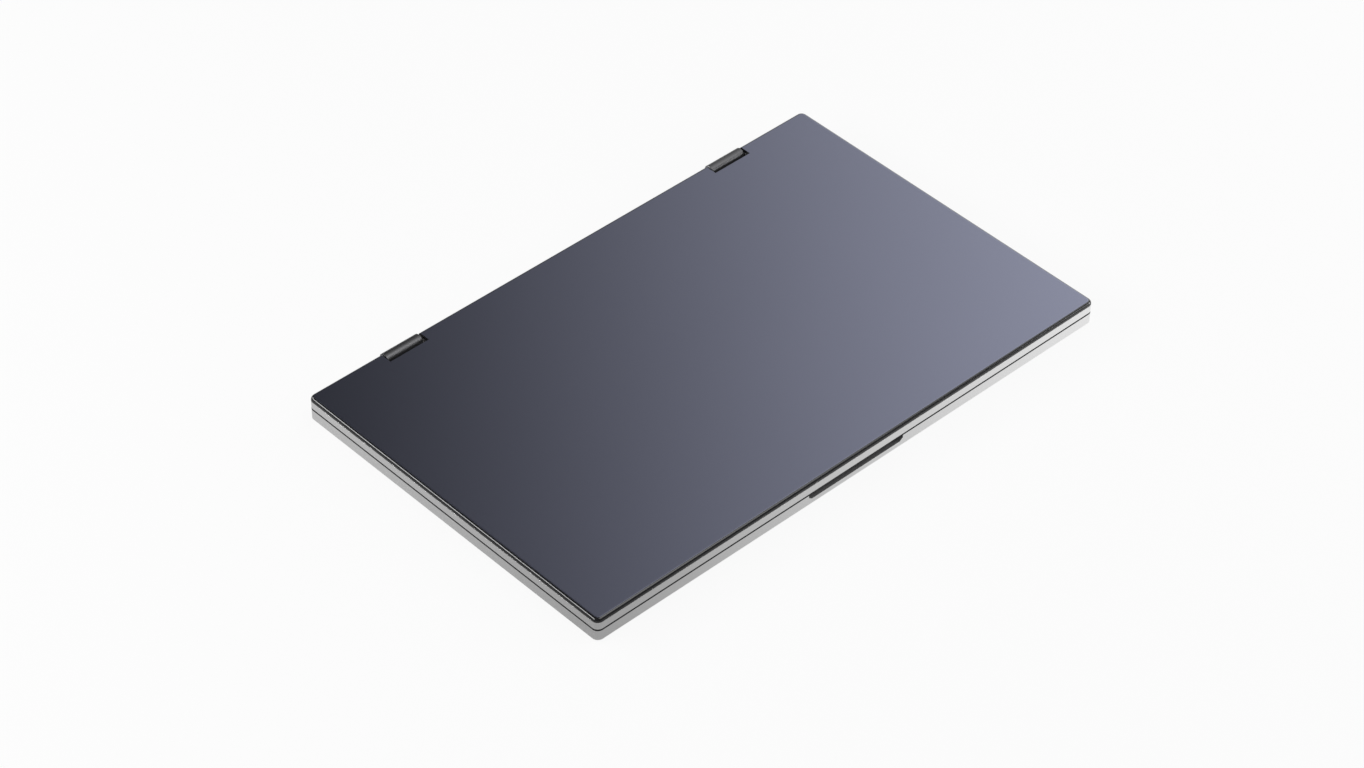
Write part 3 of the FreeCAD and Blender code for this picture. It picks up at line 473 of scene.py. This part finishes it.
def add_piece(name: str, vertices: np.ndarray, faces: list[tuple[int, ...]], body: str,
              material: bpy.types.Material) -> bpy.types.Object:
    """Make a mesh piece at the origin, ride it on a body and give it a finish.

    Args:
        name: The piece's name.
        vertices: An array of points, in metres.
        faces: Tuples of vertex numbers.
        body: The CAD body that carries the piece.
        material: The piece's material.

    Returns:
        The new object.
    """
    mesh = bpy.data.meshes.new(name)
    mesh.from_pydata(vertices.reshape(-1, 3).tolist(), [], faces)
    mesh.validate()
    mesh.materials.append(material)
    piece = bpy.data.objects.new(name, mesh)
    bpy.context.scene.collection.objects.link(piece)
    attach(piece, body)
    return piece


def revolve(profile: np.ndarray, sides: int) -> tuple[np.ndarray, list[tuple[int, ...]]]:
    """Turn a profile about Z.

    Each profile point (r, z) becomes a ring of (r cos t, r sin t, z) with t in even steps.

    Args:
        profile: An array of radius and height pairs, from the middle outwards and round.
        sides: The number of steps in a full turn.

    Returns:
        The points as an array, and the faces between neighbouring rings.
    """
    turn = np.linspace(0.0, 2.0 * math.pi, sides, endpoint=False)
    radius = profile[:, 0][:, None]
    points = np.stack([radius * np.cos(turn), radius * np.sin(turn),
                       np.repeat(profile[:, 1][:, None], sides, axis=1)], axis=-1)
    faces: list[tuple[int, ...]] = []
    for ring in range(len(profile) - 1):
        for step in range(sides):
            following = (step + 1) % sides
            faces.append((ring * sides + step, ring * sides + following,
                          (ring + 1) * sides + following, (ring + 1) * sides + step))
    faces.append(tuple(range(sides))[::-1])
    last = (len(profile) - 1) * sides
    faces.append(tuple(range(last, last + sides)))
    return points.reshape(-1, 3), faces


@dataclass
class Finishes:
    """All of the object's finishes, made once."""

    groups: SharedGroups = field(default_factory=SharedGroups)
    # the box of painted shade inside the finger recess
    recess_half_width: float = 34.05 * MM
    recess_depth: float = 3.62 * MM
    recess_floor: float = 3.7 * MM
    recess_front_gap: float = 0.05 * MM
    # half width of the painted shade band along the parting gap
    gap_shade_half_width: float = 0.27 * MM
    border_overlap: float = 3.0 * MM
    edge_fade_start: float = 0.003 * MM
    edge_fade_end: float = 0.09 * MM

    def __post_init__(self) -> None:
        """Make every material."""
        upper_low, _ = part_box("upper_frame")
        lower_low, lower_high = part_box("lower_frame")
        _, cover_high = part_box("upper_back_cover")
        cell_low, cell_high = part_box("lower_lcd_cell")
        inset = self.border_overlap
        window = (Vector((cell_low.x + inset, cell_low.y + inset, 0.0)),
                  Vector((cell_high.x - inset, cell_high.y - inset, cover_high.z)))
        # painted shade on the frames: the parting gap band and the dark grey in the finger recess
        painted_shade = PaintedShade(
            (upper_low.z, lower_high.z), self.gap_shade_half_width,
            Vector((-self.recess_half_width, lower_low.y + self.recess_front_gap,
                    lower_low.z + self.recess_floor)),
            Vector((self.recess_half_width, lower_low.y + self.recess_depth, lower_high.z)))
        self.frame = Finish(
            "brushed_silver_frame", (0.80, 0.80, 0.80), metallic=1.0, roughness=0.3,
            roughness_swing=0.03, colour_swing=0.03, bump=0.03, grain=Grain.ALONG_X,
            edge_radius=0.04 * MM, painted_shade=painted_shade).make(self.groups)
        self.bottom = Finish(
            "blasted_silver_bottom", (0.60, 0.60, 0.60), metallic=1.0, roughness=0.42, bump=0.2,
            speckle_scale=5200.0, edge_radius=0.15 * MM).make(self.groups)
        self.cover = Finish(
            "dark_lacquered_cover", (0.205, 0.216, 0.290), metallic=1.0, roughness=0.3,
            roughness_swing=0.012, colour_swing=0.015, bump=0.008, speckle_scale=4200.0,
            coat=0.15, coat_roughness=0.2, specular=0.6,
            # the edge's black is a painted dark reflection
            edge=PaintedReflectionEdge(cover_high.z - self.edge_fade_start,
                          cover_high.z - self.edge_fade_end)).make(self.groups)
        self.hinge = Finish(
            "dark_satin_hinge", (0.11, 0.11, 0.115), metallic=0.85, roughness=0.34, bump=0.004,
            roughness_swing=0.01, grain=Grain.ALONG_X, edge_radius=0.2 * MM).make(self.groups)
        self.steel = Finish(
            "ground_steel", (0.58, 0.58, 0.59), metallic=1.0, roughness=0.3, bump=0.1,
            grain=Grain.ALONG_X).make(self.groups)
        self.spring = Finish(
            "blued_spring_steel", (0.30, 0.31, 0.36), metallic=1.0, roughness=0.32).make(self.groups)
        self.port = Finish(
            "bright_plated_shell", (0.72, 0.72, 0.72), metallic=1.0, roughness=0.22,
            edge_radius=0.05 * MM).make(self.groups)
        self.contacts = Finish(
            "gilt_contacts", (0.83, 0.62, 0.27), metallic=1.0, roughness=0.25).make(self.groups)
        self.glass = Finish(
            "clear_cover_glass", (0.9, 0.91, 0.92), roughness=0.04, roughness_swing=0.01, bump=0.0,
            transmission=1.0, colour_swing=0.0, window=window).make(self.groups)
        self.screen = Finish(
            "dark_screen_cell", (0.008, 0.008, 0.011), roughness=0.18, roughness_swing=0.02,
            bump=0.01, specular=0.6).make(self.groups)
        self.film = Finish(
            "white_light_film", (0.78, 0.78, 0.77), roughness=0.55).make(self.groups)
        self.board = Finish(
            "green_solder_mask", (0.02, 0.13, 0.06), roughness=0.35, colour_swing=0.2,
            speckle_scale=900.0, bump=0.1).make(self.groups)
        self.switch = Finish(
            "black_switch_moulding", (0.03, 0.03, 0.03), roughness=0.5).make(self.groups)
        self.key = Finish(
            "silver_key", (0.66, 0.66, 0.655), metallic=1.0, roughness=0.32, grain=Grain.ALONG_Y,
            bump=0.1, edge_radius=0.15 * MM).make(self.groups)
        self.rubber = Finish(
            "dark_foot_rubber", (0.022, 0.022, 0.023), roughness=0.75, bump=0.5,
            speckle_scale=2400.0, edge_radius=0.2 * MM).make(self.groups)
        self.tape = Finish("black_bond_tape", (0.012, 0.012, 0.012), roughness=0.8).make(self.groups)


@dataclass
class Panel:
    """One screen panel's CAD nodes and their finishes."""

    side: str

    def dress(self, finishes: Finishes) -> None:
        """Dress the panel's frame, cover, screen stack, leaves and shafts.

        Args:
            finishes: The object's finishes.
        """
        side = self.side
        by_node = {
            f"{side}_frame": finishes.frame,
            f"{side}_back_cover": finishes.cover if side == "upper" else finishes.bottom,
            f"{side}_cover_glass": finishes.glass,
            f"{side}_lcd_cell": finishes.screen,
            f"{side}_backlight": finishes.film,
            f"{side}_leaf_screws": finishes.steel,
        }
        for hand in HANDS:
            by_node[f"{side}_leaf_{hand}"] = finishes.hinge
            by_node[f"{side}_shaft_{hand}"] = finishes.steel
            by_node[f"{side}_gear_{hand}"] = finishes.steel
            by_node[f"{side}_nut_{hand}"] = finishes.steel
        for node, material in by_node.items():
            dress(node, material)
        log.info("%s panel: %d nodes dressed", side, len(by_node))


@dataclass
class HingeLink:
    """One geared link between the panels."""

    hand: str

    def dress(self, finishes: Finishes) -> None:
        """Dress the link's cover and the mechanism in it."""
        hand = self.hand
        dress(f"link_cover_{hand}", finishes.hinge)
        dress(f"torque_plates_{hand}", finishes.spring)
        dress(f"spring_washers_{hand}", finishes.spring)
        for node in (f"carrier_plates_{hand}", f"idler_pins_{hand}",
                     f"idler_low_{hand}", f"idler_high_{hand}"):
            dress(node, finishes.steel)
        log.info("%s hinge link dressed", hand)


@dataclass
class Electronics:
    """Boards, ports and keys of the panels."""

    contact_count: int = 12
    contact_width: float = 0.25 * MM
    contact_rise: float = 0.03 * MM
    contact_reach: float = 4.2 * MM
    contact_pitch: float = 0.5 * MM
    contact_setback: float = 0.8 * MM
    usb_tongue_rise: float = 0.35 * MM
    hdmi_tongue_rise: float = 0.7 * MM

    def dress(self, finishes: Finishes) -> None:
        """Dress the boards, ports and keys and lay the ports' contacts.

        Args:
            finishes: The object's finishes.
        """
        for node in ("main_board", "key_board", "upper_driver_board"):
            dress(node, finishes.board)
        dress("key_switches", finishes.switch)
        for node in ("power_key", "up_key", "down_key"):
            dress(node, finishes.key)
        rises = {"usb_c_port_1": self.usb_tongue_rise, "usb_c_port_2": self.usb_tongue_rise,
                 "mini_hdmi_port": self.hdmi_tongue_rise}
        for node, rise in rises.items():
            dress(node, finishes.port)
            self._lay_contacts(node, rise, finishes)
        log.info("electronics dressed")

    def _lay_contacts(self, port: str, rise: float, finishes: Finishes) -> None:
        """Lay a row of thin gilt strips on the top of a port's tongue.

        The strips are boxes in even steps across the tongue, computed as one array.

        Args:
            port: The port's CAD node.
            rise: The height of the tongue's top above the port's middle.
            finishes: The object's finishes.
        """
        low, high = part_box(port)
        middle = (low + high) / 2
        top = middle.z + rise
        steps = np.arange(self.contact_count) - (self.contact_count - 1) / 2
        centres = middle.y + steps * self.contact_pitch
        front = high.x - self.contact_setback
        corner = np.array([[x, y, z] for z in (0.0, 1.0) for y in (-0.5, 0.5) for x in (0.0, -1.0)])
        sizes = np.array([self.contact_reach, self.contact_width, self.contact_rise])
        boxes = corner[None, :, :] * sizes
        boxes = boxes + np.stack([np.full_like(centres, front), centres,
                                  np.full_like(centres, top)], axis=-1)[:, None, :]
        quads = ((0, 1, 3, 2), (4, 6, 7, 5), (0, 4, 5, 1), (2, 3, 7, 6), (0, 2, 6, 4), (1, 5, 7, 3))
        faces = [tuple(len(corner) * strip + i for i in quad)
                 for strip in range(self.contact_count) for quad in quads]
        add_piece(f"{port}_contacts", boxes, faces, "lower_panel", finishes.contacts)


@dataclass
class Underside:
    """Feet, bumpers and flush screws of the lower panel, and the tape under the top cover."""

    screw_radius: float = 1.65 * MM
    screw_height: float = 0.4 * MM
    recess_radius: float = 0.8 * MM
    recess_depth: float = 0.3 * MM
    recess_round: float = 0.02 * MM
    rim_round: float = 0.06 * MM
    middle_radius: float = 0.0001 * MM
    lobes: int = 6
    lobe_depth: float = 0.16
    lobe_start: float = 0.1 * MM
    sides: int = 32

    def dress(self, finishes: Finishes) -> None:
        """Dress the feet, the bumpers and the tape and turn the screws.

        Args:
            finishes: The object's finishes.
        """
        dress("rubber_feet", finishes.rubber)
        dress("screen_bumpers", finishes.rubber)
        dress("upper_cover_tape", finishes.tape)
        self._turn_screws(finishes)
        log.info("underside dressed")

    def _turn_screws(self, finishes: Finishes) -> None:
        """Turn eight screws with a dished head and a star-shaped recess.

        A head is a profile turned about Z. Its recess rings are pushed in and out by
        1 + d cos(n t), for n lobes of depth d at the angle t, which makes a lobed socket.

        Args:
            finishes: The object's finishes.
        """
        low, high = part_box("cover_screws")
        frame_low, frame_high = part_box("lower_frame")
        sixth = (frame_high.x - frame_low.x) / 6
        xs = np.array([low.x + self.screw_radius, -sixth, sixth, high.x - self.screw_radius])
        ys = np.array([low.y + self.screw_radius, high.y - self.screw_radius])
        face = low.z
        profile = np.array([
            [self.middle_radius, self.recess_depth], [self.recess_radius * 0.8, self.recess_depth],
            [self.recess_radius, self.recess_round], [self.recess_radius * 1.05, 0.0],
            [self.screw_radius * 0.93, 0.0], [self.screw_radius, self.rim_round],
            [self.screw_radius, self.screw_height], [self.middle_radius, self.screw_height],
        ])
        points, faces = revolve(profile, self.sides)
        angle = np.arctan2(points[:, 1], points[:, 0])
        reach = np.hypot(points[:, 0], points[:, 1])
        inner = (reach > self.lobe_start) & (reach < self.recess_radius * 1.2)
        push = np.where(inner, 1.0 + self.lobe_depth * np.cos(self.lobes * angle), 1.0)
        points[:, :2] *= push[:, None]
        places = np.array([[x, y, face] for x in xs for y in ys])
        everything = (points[None, :, :] + places[:, None, :]).reshape(-1, 3)
        count = len(points)
        all_faces = [tuple(count * screw + i for i in quad[::-1])
                     for screw in range(len(places)) for quad in faces]
        piece = add_piece("flush_cover_screws", everything, all_faces, "lower_panel",
                          finishes.steel)
        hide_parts("cover_screws")


@dataclass(frozen=True)
class SoftLamp:
    """A square area lamp that points at the object."""

    name: str
    place: tuple[float, float, float]
    reach: float
    power: float


@dataclass
class Studio:
    """Floor, soft boxes and even surrounding light."""

    floor_half: float = 6.0
    floor_level: float = 0.968
    floor_share: float = 0.93
    floor_colour: Colour = (0.9, 0.9, 0.9)
    surround: float = 0.42
    mirror_level: float = 0.10
    floor_mirror_middle: float = 0.78
    floor_mirror_slopes: tuple[float, float] = (1.65, 0.9)
    floor_mirror_limits: tuple[float, float] = (0.32, 1.05)
    panel_distance: float = 1.3
    panel_half: float = 1.5
    gradient_tilt: float = 0.18
    gradient_reach: float = 0.75
    gradient_strength: float = 2.0
    gradient_stops: tuple[tuple[float, float], ...] = (
        (0.0, 0.0), (0.22, 0.0), (0.30, 0.025), (0.40, 0.115), (0.50, 0.235), (0.63, 0.46),
        (0.73, 0.62), (0.83, 0.76), (1.0, 0.82))
    rim_direction: tuple[float, float, float] = (-0.70, 0.54, 0.46)
    rim_distance: float = 1.3
    rim_half: tuple[float, float] = (0.9, 0.14)
    rim_level: float = 10.0
    lamps: tuple[SoftLamp, ...] = (
        SoftLamp("overhead_soft_lamp", (0.4, -0.9, 1.6), 1.2, 9.0),
        SoftLamp("right_soft_lamp", (1.6, -1.1, 0.5), 0.9, 14.0))

    def build(self, camera: "PhotoCamera") -> None:
        """Lay the floor, set the world and hang the soft boxes.

        Args:
            camera: The camera, whose directions place the soft box that the cover mirrors.
        """
        self._lay_floor()
        self._light_world()
        self._hang_graded_box(camera)
        self._hang_rim_strip()
        self._add_lamps()
        log.info("studio built")

    @staticmethod
    def _make_plane(name: str, half: tuple[float, float], material_name: str) -> tuple[
            bpy.types.Object, NodeSheet, Socket]:
        """Make a flat rectangle about the origin, with a material that has no shader yet.

        Args:
            name: The rectangle's name.
            half: Half its length and half its width.
            material_name: Its material's name.

        Returns:
            The object, its material's node sheet and the surface socket of the material's output.
        """
        length, width = half
        corners = [(-length, -width, 0), (length, -width, 0), (length, width, 0), (-length, width, 0)]
        mesh = bpy.data.meshes.new(name)
        mesh.from_pydata(corners, [], [(0, 1, 2, 3)])
        plane = bpy.data.objects.new(name, mesh)
        bpy.context.scene.collection.objects.link(plane)
        material = bpy.data.materials.new(material_name)
        material.use_nodes = True
        nodes = material.node_tree.nodes
        nodes.remove(nodes["Principled BSDF"])
        mesh.materials.append(material)
        return plane, NodeSheet(material.node_tree), nodes["Material Output"].inputs[0]

    @staticmethod
    def _hang(plane: bpy.types.Object, place: Vector, side: Vector, rise: Vector) -> None:
        """Hang a light panel at a place, turned by its two directions and unseen by the camera."""
        plane.visible_camera = False
        plane.matrix_world = Matrix.Translation(place) @ Matrix(
            (side, rise, side.cross(rise))).transposed().to_4x4()

    def _lay_floor(self) -> None:
        """Lay a pale floor that the camera and mirrors see evenly, with a faint shadow."""
        floor, sheet, surface = self._make_plane(
            "studio_floor", (self.floor_half, self.floor_half), "pale_floor")
        matt = sheet.add("BsdfDiffuse")
        matt.inputs["Color"].default_value = (*self.floor_colour, 1.0)
        glow = sheet.add("Emission")
        glow.inputs["Color"].default_value = (1.0, 1.0, 1.0, 1.0)
        path = sheet.add("LightPath")
        sheet.link(self._floor_strength(sheet, path), glow.inputs["Strength"])
        seen = sheet.math("MAXIMUM", path.outputs["Is Camera Ray"], path.outputs["Is Glossy Ray"])
        seen = sheet.math("MAXIMUM", seen, path.outputs["Is Transmission Ray"])
        blend = sheet.add("MixShader")
        sheet.link(sheet.math("MULTIPLY", seen, self.floor_share), blend.inputs[0])
        sheet.link(matt.outputs[0], blend.inputs[1])
        sheet.link(glow.outputs[0], blend.inputs[2])
        sheet.link(blend.outputs[0], surface)

    def _floor_strength(self, sheet: NodeSheet, path: bpy.types.Node) -> Socket:
        """Make the floor even to the eye, and brighter to the right and the back in reflections.

        Args:
            sheet: The floor material's node sheet.
            path: Its Light Path node.

        Returns:
            The glow's strength.
        """
        place = sheet.add("TexCoord")
        split = sheet.add("SeparateXYZ")
        sheet.link(place.outputs["Object"], split.inputs[0])
        level: Socket | float = self.floor_mirror_middle
        for axis, slope in enumerate(self.floor_mirror_slopes):
            level = sheet.math("ADD", sheet.math("MULTIPLY", split.outputs[axis], slope), level)
        least, most = self.floor_mirror_limits
        level = sheet.math("MINIMUM", sheet.math("MAXIMUM", level, least), most)
        glossy = path.outputs["Is Glossy Ray"]
        plain = sheet.math("MULTIPLY", sheet.math("SUBTRACT", 1.0, glossy), self.floor_level)
        return sheet.math("ADD", sheet.math("MULTIPLY", glossy, level), plain)

    def _light_world(self) -> None:
        """Set an even surround that is white to the camera and dim in reflections."""
        world = bpy.data.worlds.new("soft_surround")
        bpy.context.scene.world = world
        world.use_nodes = True
        sheet = NodeSheet(world.node_tree)
        background = world.node_tree.nodes["Background"]
        background.inputs["Color"].default_value = (1.0, 1.0, 1.0, 1.0)
        path = sheet.add("LightPath")
        strength = sheet.spread(path.outputs["Is Glossy Ray"], self.surround, self.mirror_level)
        camera_ray = path.outputs["Is Camera Ray"]
        strength = sheet.math("MULTIPLY", strength, sheet.math("SUBTRACT", 1.0, camera_ray))
        strength = sheet.math("ADD", strength, sheet.math("MULTIPLY", camera_ray, self.floor_level))
        sheet.link(strength, background.inputs["Strength"])

    def _hang_graded_box(self, camera: "PhotoCamera") -> None:
        """Hang a large soft box, graded from dim to bright, where the cover mirrors it.

        The box's centre lies along the mirrored view direction, and it faces the cover.

        Args:
            camera: The camera, whose view direction is mirrored.
        """
        mirrored = Vector((-camera.back.x, -camera.back.y, camera.back.z))
        side = camera.level_right
        rise = mirrored.cross(side).normalized()
        box, sheet, surface = self._make_plane(
            "graded_soft_box", (self.panel_half, self.panel_half), "graded_light")
        place = sheet.add("TexCoord")
        split = sheet.add("SeparateXYZ")
        sheet.link(place.outputs["Object"], split.inputs[0])
        across = sheet.add("MapRange")
        across.inputs[1].default_value = -self.gradient_reach
        across.inputs[2].default_value = self.gradient_reach
        tilted = sheet.math("MULTIPLY", split.outputs[1], self.gradient_tilt)
        sheet.link(sheet.math("ADD", split.outputs[0], tilted), across.inputs[0])
        ramp = sheet.add("ValToRGB")
        ramp.color_ramp.interpolation = "B_SPLINE"
        stops = self.gradient_stops
        ramp.color_ramp.elements[0].position = stops[0][0]
        ramp.color_ramp.elements[1].position = stops[-1][0]
        for position, _ in stops[1:-1]:
            ramp.color_ramp.elements.new(position)
        for element, (_, level) in zip(ramp.color_ramp.elements, stops):
            element.color = (level, level, level, 1.0)
        sheet.link(across.outputs[0], ramp.inputs[0])
        glow = sheet.add("Emission")
        glow.inputs["Strength"].default_value = self.gradient_strength
        sheet.link(ramp.outputs[0], glow.inputs["Color"])
        sheet.link(glow.outputs[0], surface)
        self._hang(box, mirrored * self.panel_distance, side, rise)

    def _hang_rim_strip(self) -> None:
        """Hang a long low strip light behind the left, which the cover's left edge mirrors."""
        away = Vector(self.rim_direction).normalized()
        side = Vector((0, 0, 1)).cross(away).normalized()
        rise = away.cross(side)
        strip, sheet, surface = self._make_plane("rim_strip", self.rim_half, "strip_light")
        glow = sheet.add("Emission")
        glow.inputs["Strength"].default_value = self.rim_level
        sheet.link(glow.outputs[0], surface)
        self._hang(strip, away * self.rim_distance, side, rise)

    def _add_lamps(self) -> None:
        """Add the broad lamp overhead and the smaller, low one at the opening edge's right."""
        for soft in self.lamps:
            lamp = bpy.data.lights.new(soft.name, "AREA")
            lamp.shape = "SQUARE"
            lamp.size = soft.reach
            lamp.energy = soft.power
            holder = bpy.data.objects.new(soft.name, lamp)
            bpy.context.scene.collection.objects.link(holder)
            aim = -Vector(soft.place).normalized()
            turned = aim.to_track_quat("-Z", "Y").to_matrix().to_4x4()
            holder.matrix_world = Matrix.Translation(soft.place) @ turned


@dataclass
class PhotoCamera:
    """The camera at the picture's viewing angle."""

    azimuth: float = -43.5826
    elevation: float = 41.7244
    roll: float = 0.7845
    distance: float = 2.0807
    target: tuple[float, float, float] = (-0.01797, -0.00014, 0.00045)
    image_width: int = 1364
    focal_pixels: float = 3953.6
    sensor_width: float = 36.0

    def __post_init__(self) -> None:
        """Work out the camera's directions from its angles."""
        turn = math.radians(self.azimuth)
        lift = math.radians(self.elevation)
        level = math.cos(lift)
        self.back = Vector((math.sin(turn) * level, -math.cos(turn) * level, math.sin(lift)))
        self.level_right = Vector((0, 0, 1)).cross(self.back).normalized()

    def place(self) -> None:
        """Create the camera and make it the scene's own."""
        level_up = self.back.cross(self.level_right)
        tilt = math.radians(self.roll)
        right = self.level_right * math.cos(tilt) + level_up * math.sin(tilt)
        up = level_up * math.cos(tilt) - self.level_right * math.sin(tilt)
        data = bpy.data.cameras.new("photo_camera")
        data.sensor_fit = "HORIZONTAL"
        data.sensor_width = self.sensor_width
        data.lens = self.focal_pixels * self.sensor_width / self.image_width
        data.clip_start = 0.05
        data.clip_end = 50.0
        holder = bpy.data.objects.new("photo_camera", data)
        bpy.context.scene.collection.objects.link(holder)
        centre = Vector(self.target) + self.back * self.distance
        turned = Matrix((right, up, self.back)).transposed().to_4x4()
        holder.matrix_world = Matrix.Translation(centre) @ turned
        bpy.context.scene.camera = holder
        log.info("camera placed")


def main() -> None:
    """Build the camera, the studio and every finish and detail, in order."""
    bpy.context.scene.view_settings.view_transform = "Standard"
    camera = PhotoCamera()
    camera.place()
    Studio().build(camera)
    finishes = Finishes()
    for side in ("lower", "upper"):
        Panel(side).dress(finishes)
    for hand in HANDS:
        HingeLink(hand).dress(finishes)
    Electronics().dress(finishes)
    Underside().dress(finishes)


if __name__ == "__main__":
    main()
